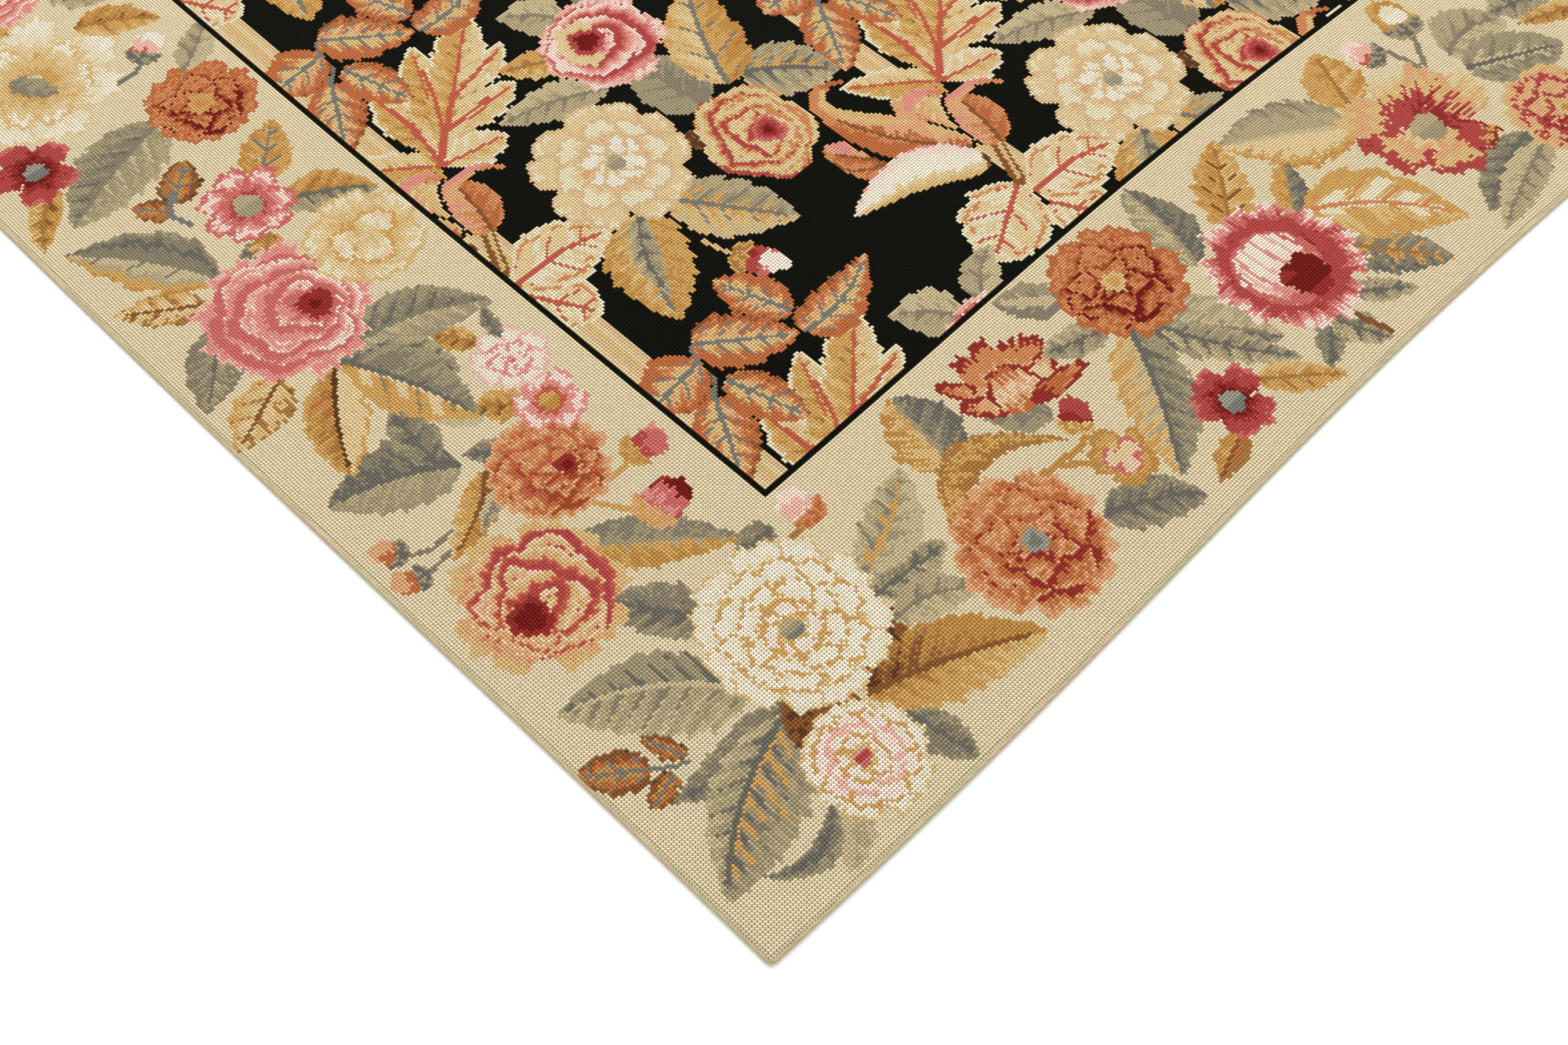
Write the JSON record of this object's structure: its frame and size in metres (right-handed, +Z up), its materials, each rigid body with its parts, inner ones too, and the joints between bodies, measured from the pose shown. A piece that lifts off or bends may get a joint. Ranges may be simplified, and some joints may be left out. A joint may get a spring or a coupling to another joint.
{
  "type": "needlepoint rug",
  "caption": "Flat rectangular floor rug of wool tent stitch on canvas, with a floral field inside a dark guard line, a wide floral border and turned-under edges.",
  "frame": {"origin": "on the floor under the middle of the rug", "axes": "+Z up through the rug's thickness, +Y along the long side, +X along the short side"},
  "size_m": [2.4422, 3.0652, 0.0045],
  "materials": {
    "wool_tent_stitch": "wool yarn in tent stitch, matt, cream border and black field with flowers"
  },
  "bodies": {
    "root": {"needlepoint_panel": "wool_tent_stitch"}
  },
  "joints": []
}
